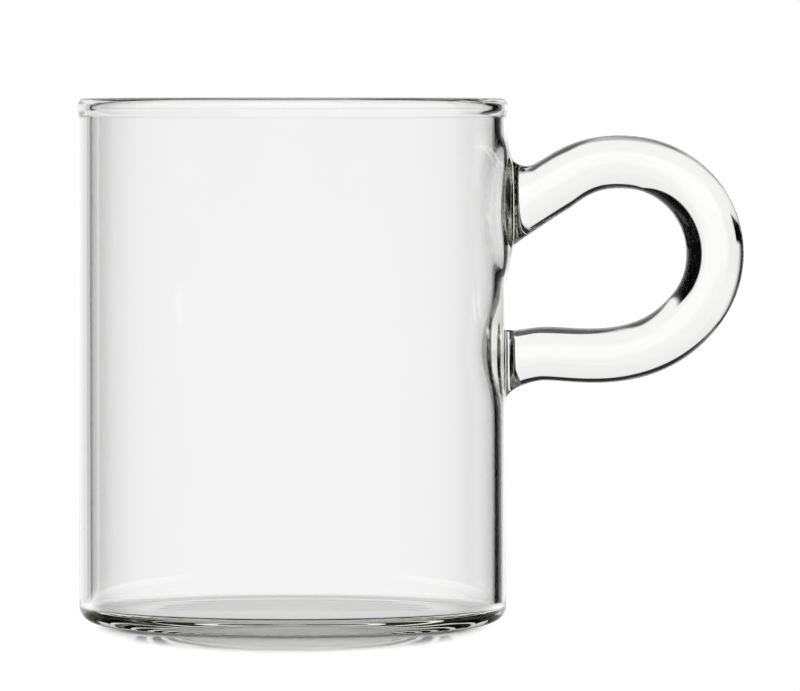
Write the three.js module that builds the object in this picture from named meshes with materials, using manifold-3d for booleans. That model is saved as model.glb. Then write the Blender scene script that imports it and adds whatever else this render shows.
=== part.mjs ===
// A clear borosilicate coffee cup as a lampworker makes it: a cut tube with a melted rim, a flat base
// with rounded corners, and a handle bent from one solid rod whose two ends are melted to the wall.
// Millimetres, +Z up. The origin is on the cup's axis at the underside, and the handle points to +X.
import * as THREE from 'three';
import { mergeVertices } from 'three/addons/utils/BufferGeometryUtils.js';
import Module from 'manifold-3d';

// Cup body
const CUP_HEIGHT = 80; // underside of the base to the top of the rim
const TUBE_DIAMETER = 65; // outside of the wall
const WALL = 1.8; // thickness of the tube's wall
const RIM_HEIGHT = 2.4; // height of the bead that the flame leaves on the cut end
const RIM_PROUD = 0.3; // how far the bead swells past the wall, inside and out
const BASE_THICKNESS = 1.8; // thickness of the floor
const HEEL_RADIUS = 4; // rounded outer corner, under the wall
const CORNER_RADIUS = 2; // rounded inner corner, between the floor and the wall

// Handle rod, on its centreline
const ROD_DIAMETER = 8;
const LOOP_RADIUS = 13.9;
const LOOP_REACH = 17.8; // from the outside of the wall to the centre of the loop
const LOOP_RISE = 16.1; // from the lower weld up to the centre of the loop
const LOOP_START = -38; // degrees, where the lower leg runs into the loop
const LOOP_END = 80; // degrees, where the loop runs into the upper leg
const LOWER_LEG_SLOPE = 8.5; // degrees, how steeply the lower leg climbs away from the wall
const UPPER_LEG_SLOPE = 32; // degrees, how steeply the upper leg climbs away from the wall
const LOWER_LEG_STRAIGHT = 4.5; // how long each leg keeps its direction as it leaves its weld
const UPPER_LEG_STRAIGHT = 2.1;
const LOWER_BEND_EASE = 12.7; // how early each leg eases into the loop
const UPPER_BEND_EASE = 9;

// Welds, where the rod's ends are melted to the wall
const LOWER_WELD_HEIGHT = 40.4; // where the leg's centreline meets the wall
const WELD_SPACING = 22.7; // from the lower weld up to the upper one
const LOWER_WELD_LENGTH = 3.6; // from the wall to where the rod has its own diameter again
const UPPER_WELD_LENGTH = 4;
const LOWER_FLARE = 0.7; // how far the melted foot spreads past the rod
const UPPER_FLARE = 1.5;
const LOWER_DROP = 0.5; // how far the lower foot ran down the wall from the rod's own line
const UPPER_RISE = 1; // how far the upper foot ran up the wall
const UPPER_PULL = 1.2; // how far the soft wall was drawn out at the upper weld
const UPPER_PULL_SPAN = 9; // half of the height and width of the drawn-out patch
const LOWER_PUSH = 1.3; // how far the inside was pressed in at the lower weld
const LOWER_SWELL = 0.4; // how far the outside stands out at the lower weld
const LOWER_PUSH_SPAN = 7;
const SEAM = 0.3; // clearance between a weld and what it is melted to

// Facets
const AROUND = 60; // steps round the cup
const CROWDING = 0.45; // draws those steps together towards the handle, 0 for even steps
const WALL_ROWS = 22;
const ARC_STEPS = 4;
const ROD_SIDES = 20;
const ROD_STEPS = 44;
const WELD_STEPS = 6;

const outerRadius = TUBE_DIAMETER / 2;
const innerRadius = outerRadius - WALL;
const middleRadius = outerRadius - WALL / 2;
const rodRadius = ROD_DIAMETER / 2;
const floorEdge = BASE_THICKNESS + CORNER_RADIUS;
const wallBottom = Math.max(floorEdge, HEEL_RADIUS);
const wallTop = CUP_HEIGHT - RIM_HEIGHT;
const upperWeldHeight = LOWER_WELD_HEIGHT + WELD_SPACING;

const wasm = await Module();
wasm.setup();

// A closed body for joining and cutting, made from a geometry whose seams are merged.
function toSolid(geometry) {
  const bare = geometry.clone();
  bare.deleteAttribute('normal');
  bare.deleteAttribute('uv');
  const merged = mergeVertices(bare);
  const corners = merged.index.array;
  const kept = [];
  for (let i = 0; i < corners.length; i += 3) {
    const [a, b, c] = [corners[i], corners[i + 1], corners[i + 2]];
    if (a !== b && b !== c && c !== a) kept.push(a, b, c);
  }
  const vertProperties = merged.attributes.position.array;
  return new wasm.Manifold(new wasm.Mesh({ numProp: 3, vertProperties, triVerts: Uint32Array.from(kept) }));
}

function toGeometry(solid) {
  const { vertProperties, triVerts } = solid.getMesh();
  const geometry = new THREE.BufferGeometry();
  geometry.setAttribute('position', new THREE.BufferAttribute(vertProperties, 3));
  geometry.setIndex(new THREE.BufferAttribute(triVerts, 1));
  geometry.computeVertexNormals();
  return geometry;
}

// A flat-topped round patch on the wall beside the handle: 1 at its centre, 0 away from it.
function patch(angle, z, centre, span) {
  const across = (outerRadius * angle) / span;
  const along = (z - centre) / span;
  return Math.exp(-((across ** 2 + along ** 2) ** 2));
}

// Where the flame softened the wall, it follows the rod: drawn out above, pressed in below.
function softened(radius, angle, z) {
  const pulled = UPPER_PULL * patch(angle, z, upperWeldHeight, UPPER_PULL_SPAN);
  const shift = radius > middleRadius ? LOWER_SWELL : -LOWER_PUSH;
  return radius + pulled + shift * patch(angle, z, LOWER_WELD_HEIGHT, LOWER_PUSH_SPAN);
}

// Turns an outline of radius and height about the cup's axis, with its steps crowded to the handle.
function turn(outline, reshape = (radius) => radius) {
  const geometry = new THREE.LatheGeometry(outline, AROUND);
  geometry.rotateX(Math.PI / 2);
  const place = geometry.attributes.position;
  for (let i = 0; i < place.count; i += 1) {
    const even = Math.atan2(place.getY(i), place.getX(i));
    const angle = even - CROWDING * Math.sin(even);
    const radius = reshape(Math.hypot(place.getX(i), place.getY(i)), angle, place.getZ(i));
    place.setXY(i, radius * Math.cos(angle), radius * Math.sin(angle));
  }
  geometry.computeVertexNormals();
  return geometry;
}

// Evenly spaced points up a straight side.
function upright(radius, from, to) {
  const points = [];
  for (let row = 0; row <= WALL_ROWS; row += 1) {
    points.push(new THREE.Vector2(radius, THREE.MathUtils.lerp(from, to, row / WALL_ROWS)));
  }
  return points;
}

const cup = new THREE.Group();

function addPiece(name, geometry, colour) {
  const glass = new THREE.MeshStandardMaterial({ color: colour, roughness: 0.03, metalness: 0 });
  glass.transparent = true;
  glass.opacity = 0.35;
  const piece = new THREE.Mesh(geometry, glass);
  piece.name = name;
  cup.add(piece);
  return piece;
}

// Base: the tube's closed end, a flat floor with a rounded heel and a rounded inner corner.
const baseOutline = new THREE.Path();
baseOutline.moveTo(0, 0);
baseOutline.lineTo(outerRadius - HEEL_RADIUS, 0);
baseOutline.absarc(outerRadius - HEEL_RADIUS, HEEL_RADIUS, HEEL_RADIUS, -Math.PI / 2, 0, false);
baseOutline.lineTo(outerRadius, wallBottom);
baseOutline.lineTo(innerRadius, wallBottom);
baseOutline.lineTo(innerRadius, floorEdge);
baseOutline.absarc(innerRadius - CORNER_RADIUS, floorEdge, CORNER_RADIUS, 0, -Math.PI / 2, true);
baseOutline.lineTo(0, BASE_THICKNESS);
addPiece('base_dish', turn(baseOutline.getPoints(ARC_STEPS)), 0xeef2ef);

// Wall: the straight tube, drawn out and pressed in where the handle is melted on.
const wallOutline = [
  ...upright(outerRadius, wallBottom, wallTop),
  ...upright(innerRadius, wallTop, wallBottom),
  new THREE.Vector2(outerRadius, wallBottom),
];
addPiece('cup_wall', turn(wallOutline, softened), 0xf4f7f5);

// Rim: the cut end of the tube, melted until it rounds over and swells a little on both sides.
const rimNeck = wallTop + RIM_HEIGHT / 4;
const rimCrown = wallTop + RIM_HEIGHT / 2;
const rimOutside = outerRadius + RIM_PROUD;
const rimInside = innerRadius - RIM_PROUD;
const rimOutline = new THREE.Path();
rimOutline.moveTo(innerRadius, wallTop);
rimOutline.lineTo(outerRadius, wallTop);
rimOutline.bezierCurveTo(outerRadius, rimNeck, rimOutside, rimNeck, rimOutside, rimCrown);
rimOutline.absellipse(middleRadius, rimCrown, WALL / 2 + RIM_PROUD, RIM_HEIGHT / 2, 0, Math.PI, false, 0);
rimOutline.bezierCurveTo(rimInside, rimNeck, innerRadius, rimNeck, innerRadius, wallTop);
addPiece('rim_bead', turn(rimOutline.getPoints(ARC_STEPS)), 0xf4f7f5);

// A leg of the handle leaves the softened wall at a height and a slope, and its weld comes first.
function leg(height, slopeDegrees, weldLength, flare, lift) {
  const slope = THREE.MathUtils.degToRad(slopeDegrees);
  const heading = new THREE.Vector2(Math.cos(slope), Math.sin(slope));
  const root = new THREE.Vector2(softened(outerRadius, 0, height), height);
  const along = (distance) => root.clone().addScaledVector(heading, distance);
  return { slope, along, weldLength, flare, lift, rodEnd: weldLength + SEAM };
}

const lowerLeg = leg(LOWER_WELD_HEIGHT, LOWER_LEG_SLOPE, LOWER_WELD_LENGTH, LOWER_FLARE, -LOWER_DROP);
const upperLeg = leg(upperWeldHeight, UPPER_LEG_SLOPE, UPPER_WELD_LENGTH, UPPER_FLARE, UPPER_RISE);

// Handle: one length of rod, out along the lower leg, round the loop and back down the upper leg.
const loopCentre = new THREE.Vector2(outerRadius + LOOP_REACH, LOWER_WELD_HEIGHT + LOOP_RISE);
const loopStart = THREE.MathUtils.degToRad(LOOP_START);
const loopEnd = THREE.MathUtils.degToRad(LOOP_END);

// A point a little before or after one end of the loop, on its tangent there.
function besideLoop(angle, distance) {
  const x = loopCentre.x + LOOP_RADIUS * Math.cos(angle) - distance * Math.sin(angle);
  const z = loopCentre.y + LOOP_RADIUS * Math.sin(angle) + distance * Math.cos(angle);
  return new THREE.Vector2(x, z);
}

const rodLine = new THREE.Path();
const rodFoot = lowerLeg.along(lowerLeg.rodEnd);
const lowerTurn = lowerLeg.along(lowerLeg.rodEnd + LOWER_LEG_STRAIGHT);
const intoLoop = besideLoop(loopStart, -LOWER_BEND_EASE);
const onLoop = besideLoop(loopStart, 0);
const outOfLoop = besideLoop(loopEnd, UPPER_BEND_EASE);
const upperTurn = upperLeg.along(upperLeg.rodEnd + UPPER_LEG_STRAIGHT);
const rodHead = upperLeg.along(upperLeg.rodEnd);
rodLine.moveTo(rodFoot.x, rodFoot.y);
rodLine.bezierCurveTo(lowerTurn.x, lowerTurn.y, intoLoop.x, intoLoop.y, onLoop.x, onLoop.y);
rodLine.absarc(loopCentre.x, loopCentre.y, LOOP_RADIUS, loopStart, loopEnd, false);
rodLine.bezierCurveTo(outOfLoop.x, outOfLoop.y, upperTurn.x, upperTurn.y, rodHead.x, rodHead.y);

// The rod's line, drawn flat as x and height, stood up in the plane through the cup's axis.
class StandingLine extends THREE.Curve {
  constructor(flat) {
    super();
    this.flat = flat;
  }

  getPoint(t) {
    const point = this.flat.getPoint(t);
    return new THREE.Vector3(point.x, 0, point.y);
  }
}

const rodSection = new THREE.Shape();
rodSection.absarc(0, 0, rodRadius, 0, 2 * Math.PI, false);
const rod = new THREE.ExtrudeGeometry(rodSection, {
  steps: ROD_STEPS,
  curveSegments: ROD_SIDES / 2,
  extrudePath: new StandingLine(rodLine),
});
addPiece('handle_rod', rod, 0xf1f4ef);

// What a weld has to stay clear of: the wall's outside, filled in and grown by the seam.
const keepOut = toSolid(
  turn(
    [new THREE.Vector2(0, 0), ...upright(outerRadius, 0, CUP_HEIGHT), new THREE.Vector2(0, CUP_HEIGHT)],
    (radius, angle, z) => (radius > 0 ? softened(radius, angle, z) + SEAM : 0),
  ),
);

// Weld: the end of the rod, melted into a foot that spreads over the wall and takes the wall's curve.
// It is turned as a straight collar and then leant over, so that it meets both the wall and the rod square.
function weld(name, { slope, along, weldLength, flare, lift }) {
  const buried = -outerRadius / 2;
  const outline = [new THREE.Vector2(0, buried), new THREE.Vector2(rodRadius + flare, buried)];
  for (let step = 0; step <= WELD_STEPS; step += 1) {
    const share = step / WELD_STEPS;
    outline.push(new THREE.Vector2(rodRadius + flare * (1 - share) ** 2, weldLength * share));
  }
  outline.push(new THREE.Vector2(0, weldLength));
  const foot = new THREE.LatheGeometry(outline, ROD_SIDES);
  foot.rotateZ(-Math.PI / 2);
  const place = foot.attributes.position;
  for (let i = 0; i < place.count; i += 1) {
    const distance = place.getX(i);
    const share = THREE.MathUtils.clamp(distance / weldLength, 0, 1);
    const lean = slope * share;
    const height = place.getY(i) / Math.cos(slope - lean);
    const centre = along(Math.max(distance, 0));
    const x = centre.x + Math.min(distance, 0) - height * Math.sin(lean);
    const z = centre.y + height * Math.cos(lean) + lift * (1 - share) ** 2;
    place.setXYZ(i, x, -place.getZ(i), z);
  }
  addPiece(name, toGeometry(toSolid(foot).subtract(keepOut)), 0xdfe2d6);
}

weld('lower_weld', lowerLeg);
weld('upper_weld', upperLeg);

export default cup;
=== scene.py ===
# A clear glass coffee cup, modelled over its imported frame. Metres, +Z up, handle towards +X.
import math

import bmesh
import bpy
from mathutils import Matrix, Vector


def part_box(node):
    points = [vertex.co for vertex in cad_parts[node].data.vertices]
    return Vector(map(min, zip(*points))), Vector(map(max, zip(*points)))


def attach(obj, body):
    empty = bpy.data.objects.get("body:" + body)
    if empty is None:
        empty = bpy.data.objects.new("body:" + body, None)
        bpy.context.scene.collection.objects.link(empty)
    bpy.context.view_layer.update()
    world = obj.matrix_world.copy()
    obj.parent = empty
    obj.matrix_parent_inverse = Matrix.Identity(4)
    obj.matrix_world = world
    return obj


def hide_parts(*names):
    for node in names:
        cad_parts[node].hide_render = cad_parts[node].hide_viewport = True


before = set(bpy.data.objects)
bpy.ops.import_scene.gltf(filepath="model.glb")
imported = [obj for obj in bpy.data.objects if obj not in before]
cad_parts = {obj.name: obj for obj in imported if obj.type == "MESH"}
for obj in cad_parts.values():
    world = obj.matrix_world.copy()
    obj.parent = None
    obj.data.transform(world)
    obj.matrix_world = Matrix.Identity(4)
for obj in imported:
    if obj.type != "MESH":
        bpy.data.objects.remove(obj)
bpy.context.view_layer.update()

# Cup body
# One length of drawn borosilicate tube. Its lower end is closed in the flame to a flat floor with a
# rounded heel, and its cut upper end is melted until it runs round into a small bead.
MM = 0.001
base_low, base_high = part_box("base_dish")
rim_low, rim_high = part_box("rim_bead")
tube_radius = base_high.y
cup_height = rim_high.z
wall_thickness = 1.8 * MM
inner_radius = tube_radius - wall_thickness
floor_thickness = 2.35 * MM
heel_width, heel_height = 4.55 * MM, 2.86 * MM
corner_width, corner_height = 2.64 * MM, 0.52 * MM
underside_rise, floor_dip = 0.68 * MM, 0.2 * MM
rim_rounding = 0.46 * wall_thickness
bead_swell = 0.2 * MM
bead_height = 2.7 * MM
steps_round = 256
wall_rows = 96
base_ring_widths = (0.1 * MM, 0.9 * MM, *[2 * MM] * 12)
slack = 0.05 * MM


def pick(kind, test):
    """Select, in edit mode, only the vertices, edges or faces that pass the test."""
    bpy.ops.mesh.select_mode(type=kind)
    bpy.ops.mesh.select_all(action="DESELECT")
    mesh = bmesh.from_edit_mesh(bpy.context.object.data)
    for part in {"VERT": mesh.verts, "EDGE": mesh.edges, "FACE": mesh.faces}[kind]:
        if test(part):
            part.select_set(True)
    mesh.select_flush_mode()
    bmesh.update_edit_mesh(bpy.context.object.data)


def on_ring(edge, radius, height):
    """True for an edge of the ring with that radius and height about the cup's axis."""
    return all(
        abs(math.hypot(v.co.x, v.co.y) - radius) < slack and abs(v.co.z - height) < slack
        for v in edge.verts
    )


bpy.ops.object.select_all(action="DESELECT")
bpy.ops.mesh.primitive_cylinder_add(
    vertices=steps_round, radius=tube_radius, depth=cup_height, location=(0, 0, cup_height / 2)
)
body = bpy.context.object
body.name = body.data.name = "cup_body"
bpy.ops.object.transform_apply(location=True, rotation=True, scale=True)
bpy.ops.object.mode_set(mode="EDIT")

# The hollow: the top is inset by the wall and pushed down to the floor.
pick("FACE", lambda face: face.normal.z > 0.9)
bpy.ops.mesh.inset(thickness=wall_thickness)
bpy.ops.mesh.extrude_region_move(TRANSFORM_OT_translate={"value": (0, 0, floor_thickness - cup_height)})

# The corners that the flame rounds: inside the floor and under the heel, which both sank to a flat
# oval, and over the rim.
pick("EDGE", lambda edge: on_ring(edge, inner_radius, floor_thickness))
bpy.ops.mesh.bevel(offset=corner_width, segments=18, profile=0.547, affect="EDGES")
pick(
    "VERT",
    lambda vert: math.hypot(vert.co.x, vert.co.y) < inner_radius + slack
    and floor_thickness - slack < vert.co.z < floor_thickness + corner_width + slack,
)
bpy.ops.transform.resize(
    value=(1, 1, corner_height / corner_width), center_override=(0, 0, floor_thickness)
)
pick("EDGE", lambda edge: on_ring(edge, tube_radius, 0))
bpy.ops.mesh.bevel(offset=heel_width, segments=20, profile=0.525, affect="EDGES")
pick(
    "VERT",
    lambda vert: vert.co.z < floor_thickness - slack
    or (math.hypot(vert.co.x, vert.co.y) > inner_radius + slack and vert.co.z < heel_width + slack),
)
bpy.ops.transform.resize(value=(1, 1, heel_height / heel_width), center_override=(0, 0, 0))
pick("EDGE", lambda edge: on_ring(edge, tube_radius, cup_height) or on_ring(edge, inner_radius, cup_height))
bpy.ops.mesh.bevel(offset=rim_rounding, segments=10, affect="EDGES")

# Rows up both sides of the wall, finer under the rim where the bead swells.
pick("EDGE", lambda edge: abs(edge.verts[0].co.z - edge.verts[1].co.z) > cup_height / 2)
bpy.ops.mesh.subdivide(number_cuts=wall_rows - 1)
row_height = (cup_height - heel_height) / wall_rows
pick(
    "EDGE",
    lambda edge: row_height / 2 < abs(edge.verts[0].co.z - edge.verts[1].co.z)
    and max(v.co.z for v in edge.verts) > cup_height - bead_height - row_height,
)
bpy.ops.mesh.subdivide(number_cuts=3)
crown = cup_height - bead_height / 2
pick("VERT", lambda vert: abs(vert.co.z - crown) < row_height / 7)
bpy.ops.transform.shrink_fatten(
    value=bead_swell,
    use_proportional_edit=True,
    proportional_edit_falloff="SMOOTH",
    proportional_size=bead_height / 2,
)

# Rings in the floor and the underside: the soft middle of the base sank into the floor as a shallow
# dish, and its underside drew up, so that the cup stands on a ring.
for up in (1, -1):
    pick("FACE", lambda face: face.normal.z * up > 0.9 and len(face.verts) == steps_round)
    for ring_width in base_ring_widths:
        bpy.ops.mesh.inset(thickness=ring_width)

# Where the flame softened the wall beside the handle it gave way: drawn out whole by the rod above,
# like a blister, and thickened inwards below. The wall is cut finer round both places.
lower_weld_height = 40.4 * MM
upper_weld_height = 63.1 * MM
softened_reach = 11 * MM
blister_height = 1.25 * MM
blister_centre, blister_span = 63.4 * MM, 8.8 * MM
thickening = 0.42 * MM
thick_centre, thick_across, thick_up = 42.2 * MM, 13 * MM, 6 * MM


def boss(angle, z, centre, span_across, span_up, steepness):
    """1 on top of an oval boss on the wall beside the handle, 0 away from it."""
    away = math.hypot(tube_radius * angle / span_across, (z - centre) / span_up)
    return math.exp(-(away**steepness))


def softened(outside, angle, z):
    """How far the wall gave way, on its outside or its inside."""
    drawn = blister_height * boss(angle, z, blister_centre, blister_span, blister_span, 5)
    if outside:
        return drawn
    return drawn - thickening * boss(angle, z, thick_centre, thick_across, thick_up, 3)


def beside_weld(point):
    """True near either weld, on both sides of the wall."""
    return any(
        math.hypot(tube_radius * math.atan2(point.y, point.x), point.z - height) < softened_reach
        for height in (lower_weld_height, upper_weld_height)
    )


def wall_point(outside, angle, z):
    """The place on one side of the softened wall."""
    radius = (tube_radius if outside else inner_radius) + softened(outside, angle, z)
    return Vector((radius * math.cos(angle), radius * math.sin(angle), z))


pick("FACE", lambda face: abs(face.normal.z) < 0.01 and beside_weld(face.calc_center_median()))
bpy.ops.mesh.subdivide(number_cuts=1)
bpy.ops.object.mode_set(mode="OBJECT")
middle_radius = tube_radius - wall_thickness / 2
floor_radius = inner_radius - corner_width
underside_radius = tube_radius - heel_width
for vert in body.data.vertices:
    from_axis = math.hypot(vert.co.x, vert.co.y)
    if cup_height / 4 < vert.co.z < cup_height - bead_height:
        vert.co = wall_point(from_axis > middle_radius, math.atan2(vert.co.y, vert.co.x), vert.co.z)
    elif abs(vert.co.z) < slack and from_axis < underside_radius:
        vert.co.z += underside_rise * (1 - (from_axis / underside_radius) ** 2)
    elif abs(vert.co.z - floor_thickness) < slack and from_axis < floor_radius:
        vert.co.z -= floor_dip * (1 - (from_axis / floor_radius) ** 2)

# Welded feet
# The rod's two ends, melted onto the wall. Each is grown out of the wall's own faces: a patch is
# opened, its edge is drawn in to the foot, turned outwards in a fillet and run along the rod.
lower_rod_radius = 4.08 * MM
upper_rod_radius = 4.25 * MM
patch_margin = 0.9 * MM
wall_rings = 8
foot_rings = 26


def quarter(distance, reach):
    """A quarter-round fillet: 1 on the wall, running out to 0 at its reach along the rod."""
    share = max(1 - distance / reach, 0)
    return 1 - math.sqrt(1 - share * share)


def ease(share):
    """A smooth step from 0 to 1."""
    share = min(max(share, 0), 1)
    return share * share * (3 - 2 * share)


def weld_foot(
    height, slope, radius, length, flare_up, flare_down, fillet, flare_across, fillet_across, pinch, neck
):
    """Grow one foot out of the wall and return the place and direction of its flat end.

    The flares are how far the foot spreads on the wall, and the fillets how far out they end. The
    pinch is the share of the rod's width that touches the wall, and it is over at the neck.
    """
    heading = Vector((math.cos(slope), 0, math.sin(slope)))
    root = wall_point(True, 0, height)
    end = root + heading * length
    patch_width = radius * pinch + flare_across + patch_margin

    def reach_up(turn, distance):
        flare = flare_up if math.sin(turn) > 0 else flare_down
        return (radius + flare * quarter(distance, fillet)) * math.sin(turn) / math.cos(slope)

    def reach_across(turn, distance):
        share = pinch + (1 - pinch) * ease(1.5 * distance / neck - 0.5)
        return (radius * share + flare_across * quarter(distance, fillet_across)) * math.cos(turn)

    def on_wall(point):
        return tube_radius * math.atan2(point.y, point.x), point.z - height

    foot_low, foot_high = reach_up(-math.pi / 2, 0), reach_up(math.pi / 2, 0)

    def in_patch(face):
        across, up = on_wall(face.calc_center_median())
        inside = foot_low - patch_margin < up < foot_high + patch_margin
        return face.normal.x > 0.3 and abs(across) < patch_width and inside

    bpy.ops.object.mode_set(mode="EDIT")
    pick("FACE", in_patch)
    bpy.ops.mesh.delete(type="FACE")
    pick("EDGE", lambda edge: edge.is_boundary)

    # Each point of the opening keeps where it starts and its even share of the turn round the foot.
    mesh = bmesh.from_edit_mesh(body.data)
    names = ("start_across", "start_up", "even_turn")
    layers = [mesh.verts.layers.float.new(name) for name in names]
    middle = (foot_low + foot_high) / 2
    starts = []
    for vert in mesh.verts:
        if vert.select:
            across, up = on_wall(vert.co)
            starts.append((math.atan2(up - middle, across), across, up, vert))
    starts.sort(key=lambda start: start[0])
    turns = [2 * math.pi * i / len(starts) for i in range(len(starts))]
    lag = sum(start[0] - turn for start, turn in zip(starts, turns)) / len(turns)
    for (_, across, up, vert), turn in zip(starts, turns):
        for layer, value in zip(layers, (across, up, turn + lag)):
            vert[layer] = value
    bmesh.update_edit_mesh(body.data)

    for ring in range(1, wall_rings + foot_rings + 1):
        bpy.ops.mesh.extrude_edges_move(TRANSFORM_OT_translate={"value": (0, 0, 0)})
        mesh = bmesh.from_edit_mesh(body.data)
        layers = [mesh.verts.layers.float[name] for name in names]
        for vert in mesh.verts:
            if not vert.select:
                continue
            across, up, turn = (vert[layer] for layer in layers)
            if ring <= wall_rings:
                share = ring / wall_rings
                across += (reach_across(turn, 0) - across) * share
                up += (reach_up(turn, 0) - up) * share
                vert.co = wall_point(True, across / tube_radius, height + up)
                continue
            share = 1 - math.cos(math.pi / 2 * (ring - wall_rings) / foot_rings)
            distance = length * heading.x * share
            centre = root + heading * (length * share)
            across = reach_across(turn, distance)
            place = centre + Vector((0, across, reach_up(turn, distance)))
            wall = wall_point(True, across / tube_radius, place.z)
            place.x += (wall.x - root.x) * (1 - share) ** 3
            vert.co = place - heading * ((place - centre).dot(heading) * ease(share))
        bmesh.update_edit_mesh(body.data)
    bpy.ops.mesh.edge_face_add()
    mesh = bmesh.from_edit_mesh(body.data)
    for name in names:
        mesh.verts.layers.float.remove(mesh.verts.layers.float[name])
    bmesh.update_edit_mesh(body.data)
    bpy.ops.object.mode_set(mode="OBJECT")
    return end, heading


# The lower end only just touched the wall, across its middle, and sagged a little below.
lower_end, lower_heading = weld_foot(
    height=lower_weld_height,
    slope=math.radians(8.5),
    radius=lower_rod_radius,
    length=4.7 * MM,
    flare_up=0.3 * MM,
    flare_down=2.0 * MM,
    fillet=4.6 * MM,
    flare_across=0.2 * MM,
    fillet_across=0.5 * MM,
    pinch=0.22,
    neck=1.4 * MM,
)
# The upper end was pressed on whole, and drew the wall up after it.
upper_end, upper_heading = weld_foot(
    height=upper_weld_height,
    slope=math.radians(32),
    radius=upper_rod_radius,
    length=7.5 * MM,
    flare_up=2.5 * MM,
    flare_down=0.5 * MM,
    fillet=6.2 * MM,
    flare_across=1.4 * MM,
    fillet_across=1.0 * MM,
    pinch=1.0,
    neck=1.0 * MM,
)
bpy.ops.object.mode_set(mode="EDIT")
bpy.ops.mesh.select_all(action="SELECT")
bpy.ops.mesh.normals_make_consistent(inside=False)
bpy.ops.object.mode_set(mode="OBJECT")


def to_linear(text):
    """An sRGB hex colour as linear red, green, blue and alpha."""
    parts = [int(text[i : i + 2], 16) / 255 for i in (0, 2, 4)]
    return [c / 12.92 if c <= 0.04045 else ((c + 0.055) / 1.055) ** 2.4 for c in parts] + [1.0]


def add_node(tree, kind, links=None, sockets=None, **settings):
    """Add one node with its settings, its plain socket values and the sockets that feed it."""
    node = tree.nodes.new(kind)
    for name, value in settings.items():
        setattr(node, name, value)
    for name, value in (sockets or {}).items():
        node.inputs[name].default_value = value
    for name, source in (links or {}).items():
        tree.links.new(source, node.inputs[name])
    return node


def empty_material(name):
    """A new material with no nodes yet, and its node tree."""
    material = bpy.data.materials.new(name)
    material.use_nodes = True
    material.node_tree.nodes.clear()
    return material, material.node_tree


def borosilicate(name, waves_per_metre):
    """Clear glass whose surface waves lie so many to the metre along each axis."""
    glass, tree = empty_material(name)
    stretched = add_node(
        tree,
        "ShaderNodeVectorMath",
        operation="MULTIPLY",
        links={0: add_node(tree, "ShaderNodeTexCoord").outputs["Object"]},
        sockets={1: waves_per_metre},
    )
    waves = add_node(
        tree,
        "ShaderNodeTexNoise",
        links={"Vector": stretched.outputs["Vector"]},
        sockets={"Scale": 1.0, "Detail": 1.0, "Roughness": 0.4},
    )
    wavy = add_node(
        tree,
        "ShaderNodeBump",
        links={"Height": waves.outputs[0]},
        sockets={"Strength": 1.0, "Distance": 0.02 * MM},
    )
    clear = add_node(
        tree,
        "ShaderNodeBsdfPrincipled",
        links={"Normal": wavy.outputs["Normal"]},
        sockets={
            "Base Color": to_linear("FFFFFF"),
            "Roughness": 0.0,
            "IOR": 1.473,
            "Transmission Weight": 1.0,
        },
    )
    tint = add_node(
        tree, "ShaderNodeVolumeAbsorption", sockets={"Color": to_linear("FFFFF5"), "Density": 10.0}
    )
    add_node(
        tree, "ShaderNodeOutputMaterial", links={"Surface": clear.outputs[0], "Volume": tint.outputs[0]}
    )
    return glass


# To the eye the tube is colourless, with faint draw lines down the wall that make its edges waver and
# a breath of yellow where one looks through much glass.
tube_glass = borosilicate("drawn_borosilicate_tube", (110, 110, 16))

# Glass melted to glass shows no face: the light goes straight on from the foot into the rod.
melted_joint, joint_tree = empty_material("melted_joint")
unseen = add_node(
    joint_tree,
    "ShaderNodeBsdfPrincipled",
    sockets={"Base Color": to_linear("FFFFFF"), "Roughness": 0.0, "IOR": 1.0, "Transmission Weight": 1.0},
)
add_node(joint_tree, "ShaderNodeOutputMaterial", links={"Surface": unseen.outputs[0]})
joint_reach = 6 * MM
crease_angle = math.radians(50)


def in_joint(face):
    """True for a face in the flat end of either foot, where the rod goes on."""
    for point, heading in ((lower_end, lower_heading), (upper_end, upper_heading)):
        off = face.center - point
        flush = abs(off.dot(heading)) < slack and abs(face.normal.dot(heading)) > 0.99
        if flush and off.length < joint_reach:
            return True
    return False


bpy.ops.object.select_all(action="DESELECT")
body.select_set(True)
bpy.context.view_layer.objects.active = body
bpy.ops.object.shade_smooth_by_angle(angle=crease_angle)
body.data.materials.clear()
body.data.materials.append(tube_glass)
body.data.materials.append(melted_joint)
for face in body.data.polygons:
    face.material_index = 1 if in_joint(face) else 0
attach(body, "root")
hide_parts("base_dish", "cup_wall", "rim_bead", "lower_weld", "upper_weld")

# Handle
# One length of solid rod, bent in the flame: out along the lower leg, round the loop, where it
# thickened a little, and back down the upper leg to its weld.
loop_radius = 13.9 * MM
loop_centre = Vector((tube_radius + 17.8 * MM, 0, lower_weld_height + 15.98 * MM))
loop_start, loop_end = math.radians(-38), math.radians(83)
loop_middle = (loop_start + loop_end) / 2
arc_handle = loop_radius * 4 / 3 * math.tan((loop_end - loop_start) / 8)
joint_gap = 0.002 * MM
rod_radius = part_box("handle_rod")[1].y


def on_loop(angle):
    """The point on the loop's centreline at that angle, and its direction there."""
    across = Vector((math.cos(angle), 0, math.sin(angle)))
    return loop_centre + across * loop_radius, Vector((-across.z, 0, across.x))


bpy.ops.object.select_all(action="DESELECT")
bpy.ops.curve.primitive_bezier_curve_add(location=(0, 0, 0))
handle = bpy.context.object
handle.name = handle.data.name = "rod_handle"
line = handle.data.splines[0]
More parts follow.
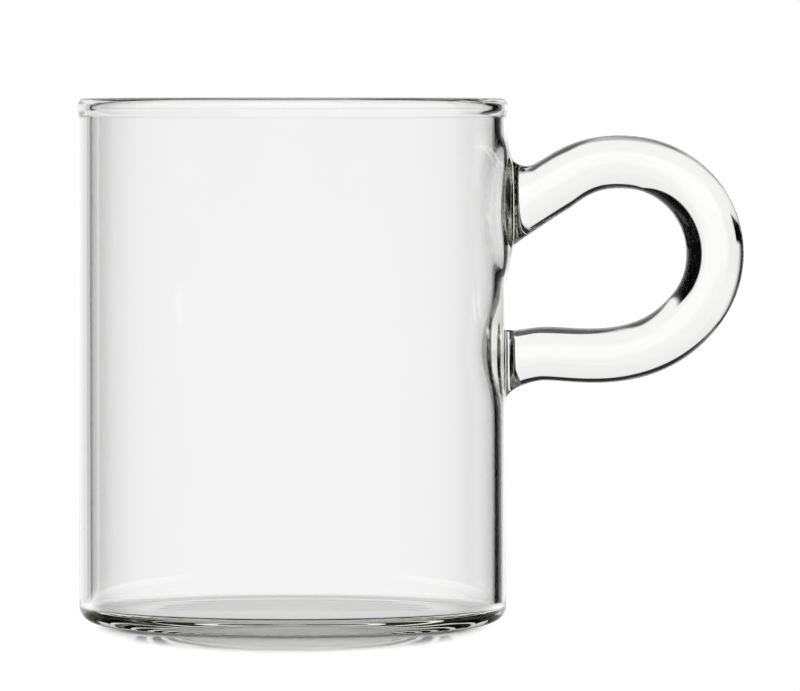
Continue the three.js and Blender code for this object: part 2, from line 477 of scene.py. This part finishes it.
# Each stop along the rod: its place and direction, its reach before and after, and the rod's radius.
stops = [
    (lower_end + lower_heading * joint_gap, lower_heading, 4.5 * MM, 4.5 * MM, lower_rod_radius),
    (*on_loop(loop_start), 12.7 * MM, arc_handle, 4.3 * MM),
    (*on_loop(loop_middle), arc_handle, arc_handle, 4.38 * MM),
    (*on_loop(loop_end), arc_handle, 7.0 * MM, 4.05 * MM),
    (upper_end + upper_heading * joint_gap, -upper_heading, 1.8 * MM, 1.8 * MM, upper_rod_radius),
]
line.bezier_points.add(len(stops) - len(line.bezier_points))
for point, (place, direction, before, after, radius) in zip(line.bezier_points, stops):
    point.handle_left_type = point.handle_right_type = "FREE"
    point.co = place
    point.handle_left = place - direction * before
    point.handle_right = place + direction * after
    point.radius = radius / rod_radius
line.radius_interpolation = "CARDINAL"
handle.data.dimensions = "3D"
handle.data.resolution_u = 40
handle.data.bevel_depth = rod_radius
handle.data.bevel_resolution = 15
handle.data.use_fill_caps = True
bpy.ops.object.convert(target="MESH")
handle = bpy.context.object
bpy.ops.object.mode_set(mode="EDIT")
bpy.ops.mesh.select_all(action="SELECT")
bpy.ops.mesh.remove_doubles(threshold=0.001 * MM)
bpy.ops.mesh.normals_make_consistent(inside=False)
bpy.ops.object.mode_set(mode="OBJECT")
bpy.ops.object.shade_smooth_by_angle(angle=crease_angle)
# The same glass to the eye, with the slight ripples of a rod that was bent soft.
rod_glass = borosilicate("flame_bent_borosilicate_rod", (90, 90, 90))
handle.data.materials.clear()
handle.data.materials.append(rod_glass)
handle.data.materials.append(melted_joint)
for face in handle.data.polygons:
    face.material_index = 1 if in_joint(face) else 0
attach(handle, "root")
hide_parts("handle_rod")

# White table
# A round sheet of polished white under the cup, which glows with painted light for the glass. In the
# picture it runs out into the white ground, and in the glass it ends at an edge.
table_radius = 80 * MM
table_edge_start, table_edge_end = 67 * MM, 72 * MM
seen_oval = (31 * MM, 66 * MM, 1)
standing_ring = 28.2 * MM
bpy.ops.object.select_all(action="DESELECT")
bpy.ops.mesh.primitive_circle_add(
    vertices=96, radius=table_radius, fill_type="NGON", location=(0, 0, -0.1 * MM)
)
table = bpy.context.object
table.name = "white_table"
bpy.ops.object.transform_apply(location=True)

# To the eye it is plain white with a soft mirror image. The glass sees a painted glow instead: a painted
# reflection, bright at a low angle, painted shade under the cup, and a painted shadow ring where the cup
# stands.
painted_glow_table, table_tree = empty_material("white_table_painted_glow")
table_path = add_node(table_tree, "ShaderNodeLightPath")
from_camera = table_path.outputs["Is Camera Ray"]
on_table = add_node(table_tree, "ShaderNodeTexCoord").outputs["Object"]
table_axes = add_node(table_tree, "ShaderNodeSeparateXYZ", links={0: on_table})
from_middle = add_node(
    table_tree, "ShaderNodeVectorMath", operation="LENGTH", links={0: on_table}
).outputs["Value"]
oval = add_node(
    table_tree, "ShaderNodeVectorMath", operation="DIVIDE", links={0: on_table}, sockets={1: seen_oval}
)
across_oval = add_node(
    table_tree, "ShaderNodeVectorMath", operation="LENGTH", links={0: oval.outputs["Vector"]}
)
soft_edge = add_node(
    table_tree,
    "ShaderNodeMapRange",
    interpolation_type="SMOOTHSTEP",
    links={"Value": across_oval.outputs["Value"]},
    sockets={"From Min": 0.8, "From Max": 1.0},
)
firm_edge = add_node(
    table_tree,
    "ShaderNodeMapRange",
    links={"Value": from_middle},
    sockets={"From Min": table_edge_start, "From Max": table_edge_end},
)
table_edge = add_node(
    table_tree, "ShaderNodeMix", links={0: from_camera, 2: firm_edge.outputs[0], 3: soft_edge.outputs[0]}
)
polished = add_node(
    table_tree,
    "ShaderNodeBsdfPrincipled",
    sockets={"Base Color": to_linear("FFFFFF"), "Roughness": 0.1},
)

# The painted light that it sends into the glass: a painted sheen, with painted shade on the handle's side,
# times the painted shadow under the cup, the painted shade on its front half for light that the glass
# mirrored, and the painted shadow ring.
# Painted shade: for steep rays the glow drops from 0.55 to 0.05 towards the handle's side.
handle_side_painted_shade = add_node(
    table_tree,
    "ShaderNodeMapRange",
    links={"Value": table_axes.outputs["X"]},
    sockets={"From Min": 20 * MM, "From Max": 32 * MM, "To Min": 0.55, "To Max": 0.05},
)
# Painted sheen: the glow is full at a low angle and falls off for steep rays.
low_angle = add_node(table_tree, "ShaderNodeLayerWeight", sockets={"Blend": 0.5})
painted_sheen = add_node(
    table_tree,
    "ShaderNodeMapRange",
    links={"Value": low_angle.outputs["Facing"], "To Min": handle_side_painted_shade.outputs[0]},
    sockets={"From Min": 0.40, "From Max": 0.52, "To Max": 1.0},
)
# Painted shadow under the cup: half as bright within 30 mm of the axis.
under_cup_painted_shadow = add_node(
    table_tree,
    "ShaderNodeMapRange",
    links={"Value": from_middle},
    sockets={"From Min": 30 * MM, "From Max": 36 * MM, "To Min": 0.5, "To Max": 1.0},
)
bounced = add_node(
    table_tree,
    "ShaderNodeMath",
    operation="GREATER_THAN",
    links={0: table_path.outputs["Glossy Depth"]},
    sockets={1: 0.5},
)
# Painted shade on the front half, for rays that the glass mirrored.
front_painted_shade = add_node(
    table_tree,
    "ShaderNodeMapRange",
    links={"Value": table_axes.outputs["Y"]},
    sockets={"From Min": -8 * MM, "From Max": 8 * MM, "To Min": 0.98, "To Max": 0.0},
)
shaded = add_node(
    table_tree,
    "ShaderNodeMath",
    operation="MULTIPLY",
    links={0: bounced.outputs[0], 1: front_painted_shade.outputs[0]},
)
unshaded = add_node(
    table_tree, "ShaderNodeMath", operation="SUBTRACT", sockets={0: 1.0}, links={1: shaded.outputs[0]}
)
# Painted contact shadow: a dark ring where the cup stands.
from_ring = add_node(
    table_tree, "ShaderNodeMath", operation="SUBTRACT", links={0: from_middle}, sockets={1: standing_ring}
)
beside_ring = add_node(
    table_tree, "ShaderNodeMath", operation="ABSOLUTE", links={0: from_ring.outputs[0]}
)
ring_painted_shadow = add_node(
    table_tree,
    "ShaderNodeMapRange",
    links={"Value": beside_ring.outputs[0]},
    sockets={"From Min": 1.0 * MM, "From Max": 3.0 * MM, "To Min": 0.05, "To Max": 1.0},
)
glow = painted_sheen.outputs[0]
for share in (under_cup_painted_shadow, unshaded, ring_painted_shadow):
    glow = add_node(
        table_tree, "ShaderNodeMath", operation="MULTIPLY", links={0: glow, 1: share.outputs[0]}
    ).outputs[0]
# The table glows for the glass though it is no lamp: painted light.
painted_glow = add_node(table_tree, "ShaderNodeEmission", links={"Strength": glow})
table_top = add_node(
    table_tree, "ShaderNodeMixShader", links={0: from_camera, 1: painted_glow.outputs[0], 2: polished.outputs[0]}
)
past_edge = add_node(table_tree, "ShaderNodeBsdfTransparent")
whole_table = add_node(
    table_tree,
    "ShaderNodeMixShader",
    links={0: table_edge.outputs[0], 1: table_top.outputs[0], 2: past_edge.outputs[0]},
)
add_node(table_tree, "ShaderNodeOutputMaterial", links={"Surface": whole_table.outputs[0]})
table.data.materials.append(painted_glow_table)

# Side card
# A dark card that stands behind the cup on its left, out of the picture. It draws the line inside the
# left edge of the wall.
card_place = (-120 * MM, 150 * MM, 51 * MM)
card_width, card_height = 140 * MM, 118 * MM
bpy.ops.object.select_all(action="DESELECT")
bpy.ops.mesh.primitive_plane_add(size=1, location=card_place, rotation=(math.pi / 2, 0, 0))
card = bpy.context.object
card.name = "side_card"
card.scale = (card_width, card_height, 1)
bpy.ops.object.transform_apply(location=True, rotation=True, scale=True)

# Only the glass shows it: a black strip at its far end, and from there to the cup a veil that thins out.
dark_card, card_tree = empty_material("dark_card")
card_path = add_node(card_tree, "ShaderNodeLightPath")
on_card = add_node(card_tree, "ShaderNodeTexCoord").outputs["Object"]
card_axes = add_node(card_tree, "ShaderNodeSeparateXYZ", links={0: on_card})
veil = add_node(
    card_tree,
    "ShaderNodeMapRange",
    links={"Value": card_axes.outputs["X"]},
    sockets={"From Min": -112 * MM, "From Max": -50 * MM, "To Min": 0.24, "To Max": 0.0},
)
strip = add_node(
    card_tree,
    "ShaderNodeMapRange",
    interpolation_type="SMOOTHSTEP",
    links={"Value": card_axes.outputs["X"]},
    sockets={"From Min": -141 * MM, "From Max": -138 * MM, "To Min": 1.0, "To Max": 0.0},
)
covered = add_node(
    card_tree, "ShaderNodeMath", operation="MAXIMUM", links={0: veil.outputs[0], 1: strip.outputs[0]}
)
from_glass = add_node(
    card_tree,
    "ShaderNodeMath",
    operation="MAXIMUM",
    links={0: card_path.outputs["Is Transmission Ray"], 1: card_path.outputs["Is Glossy Ray"]},
)
shown = add_node(
    card_tree, "ShaderNodeMath", operation="MULTIPLY", links={0: covered.outputs[0], 1: from_glass.outputs[0]}
)
nothing = add_node(card_tree, "ShaderNodeBsdfTransparent")
black = add_node(card_tree, "ShaderNodeEmission", sockets={"Strength": 0.0})
whole_card = add_node(
    card_tree, "ShaderNodeMixShader", links={0: shown.outputs[0], 1: nothing.outputs[0], 2: black.outputs[0]}
)
add_node(card_tree, "ShaderNodeOutputMaterial", links={"Surface": whole_card.outputs[0]})
card.data.materials.append(dark_card)

# Room
# Clear glass is lit from behind: a white backdrop fills it with light, and dark surroundings out of
# the picture, at the sides and overhead, draw its edges. The camera itself sees only white.
room = bpy.data.worlds.new("studio")
bpy.context.scene.world = room
room.use_nodes = True
room.cycles.sampling_method = "NONE"
room_tree = room.node_tree
room_tree.nodes.clear()
direction = add_node(room_tree, "ShaderNodeTexCoord").outputs["Generated"]
room_axes = add_node(room_tree, "ShaderNodeSeparateXYZ", links={0: direction})
azimuth = add_node(
    room_tree,
    "ShaderNodeMath",
    operation="ARCTAN2",
    links={0: room_axes.outputs["X"], 1: room_axes.outputs["Y"]},
)
elevation = add_node(room_tree, "ShaderNodeMath", operation="ARCSINE", links={0: room_axes.outputs["Z"]})
room_path = add_node(room_tree, "ShaderNodeLightPath")
straight = add_node(
    room_tree,
    "ShaderNodeMath",
    operation="LESS_THAN",
    links={0: room_path.outputs["Glossy Depth"]},
    sockets={1: 0.5},
)
mirrored = add_node(
    room_tree, "ShaderNodeMath", operation="SUBTRACT", sockets={0: 1.0}, links={1: straight.outputs[0]}
)
ground_level = 0.95
# Each panel: the azimuths and the elevations that it spans in degrees, how far its edges lean, how
# soft they are, its brightness, and which rays meet it: 1 those that come straight through the glass,
# -1 those that the glass mirrored, 0 all. Each lies over those before it.
panels = [
    # The dark room
    (-181, 181, -11, 91, 0, 1.5, 0.04, 0),
    # The backdrop, soft on its left, firm on its right, brighter at its foot, and greyer in a band
    # above that for what the glass mirrors
    (-47, 0, -15, 50, 0, 9, 0.93, 0),
    (-30, 20.5, -15, 50, 0, 1.5, 0.93, 0),
    (-16, 16, -15, 2, 0, 4, 1.04, 0),
    (-45, 21, 1, 9, 0, 1, 0.86, -1),
    # A black strip low on the left, a black flag on the right and a light panel far on the left
    (-60, -34, -14.5, -5, 0, 1, 0.0, 0),
    (21, 75, -5.5, 85, 0.55, 1.5, 0.0, 0),
    (-106, -74, -15, 40, 0, 6, 0.85, 1),
    # The dark ceiling, lower on the left
    (-110, 21, 43, 120, -0.35, 2, 0.02, 0),
    (-181, 181, 43, 91, 0, 2, 0.02, 0),
    # The floor below the table, dark on the right, and on the left for what the glass mirrors
    (-181, 181, -91, -43, 0, 5, 0.45, 0),
    (18, 115, -91, -36, 0, 4, 0.05, 0),
    (-150, -38, -70, -9, 0, 4, 0.04, -1),
]
light = add_node(room_tree, "ShaderNodeValue").outputs[0]
light.default_value = ground_level
for first, last, low, high, lean, soft, level, rays in panels:
    leaning = add_node(
        room_tree,
        "ShaderNodeMath",
        operation="MULTIPLY_ADD",
        links={0: azimuth.outputs[0], 2: elevation.outputs[0]},
        sockets={1: lean},
    )
    spans = []
    for angle, start, end in ((azimuth, first, last), (leaning, low, high)):
        off_centre = add_node(
            room_tree,
            "ShaderNodeMath",
            operation="SUBTRACT",
            links={0: angle.outputs[0]},
            sockets={1: math.radians(start + end) / 2},
        )
        aside = add_node(room_tree, "ShaderNodeMath", operation="ABSOLUTE", links={0: off_centre.outputs[0]})
        span = add_node(
            room_tree,
            "ShaderNodeMapRange",
            interpolation_type="SMOOTHSTEP",
            links={"Value": aside.outputs[0]},
            sockets={
                "From Min": math.radians((end - start) / 2 - soft),
                "From Max": math.radians((end - start) / 2 + soft),
                "To Min": 1.0,
                "To Max": 0.0,
            },
        )
        spans.append(span.outputs[0])
    mask = add_node(room_tree, "ShaderNodeMath", operation="MULTIPLY", links={0: spans[0], 1: spans[1]})
    if rays:
        mask = add_node(
            room_tree,
            "ShaderNodeMath",
            operation="MULTIPLY",
            links={0: mask.outputs[0], 1: (straight if rays > 0 else mirrored).outputs[0]},
        )
    panel = add_node(room_tree, "ShaderNodeMix", links={0: mask.outputs[0], 2: light}, sockets={3: level})
    light = panel.outputs[0]
open_light = add_node(
    room_tree,
    "ShaderNodeMath",
    operation="MAXIMUM",
    links={0: room_path.outputs["Is Camera Ray"], 1: room_path.outputs["Is Diffuse Ray"]},
)
strength = add_node(
    room_tree, "ShaderNodeMath", operation="MAXIMUM", links={0: light, 1: open_light.outputs[0]}
)
background = add_node(
    room_tree,
    "ShaderNodeBackground",
    sockets={"Color": to_linear("FFFFFF")},
    links={"Strength": strength.outputs[0]},
)
add_node(room_tree, "ShaderNodeOutputWorld", links={"Surface": background.outputs[0]})

# Camera
# A long lens a little above the rim, tilted down, with the cup left of the middle of the picture.
# Light bounces often inside the glass, so its paths are let run long.
image_width, image_height = 800, 691
pixels_per_metre = 6580
cup_axis_pixel, underside_pixel = 292.7, 624.5
camera_distance = 1.27
camera_height = 0.0837
sensor_width = 36
glass_bounces = 48
aim = Vector(
    (
        (image_width / 2 - cup_axis_pixel) / pixels_per_metre,
        0,
        (underside_pixel - image_height / 2) / pixels_per_metre,
    )
)
bpy.ops.object.camera_add(location=(aim.x, -camera_distance, camera_height))
camera = bpy.context.object
camera.rotation_euler = (aim - camera.location).to_track_quat("-Z", "Y").to_euler()
camera.data.sensor_width = sensor_width
camera.data.lens = sensor_width * pixels_per_metre * camera_distance / image_width
camera.data.clip_end = 20
scene = bpy.context.scene
scene.camera = camera
scene.view_settings.view_transform = "Standard"
scene.cycles.max_bounces = glass_bounces
scene.cycles.glossy_bounces = glass_bounces
scene.cycles.transmission_bounces = glass_bounces
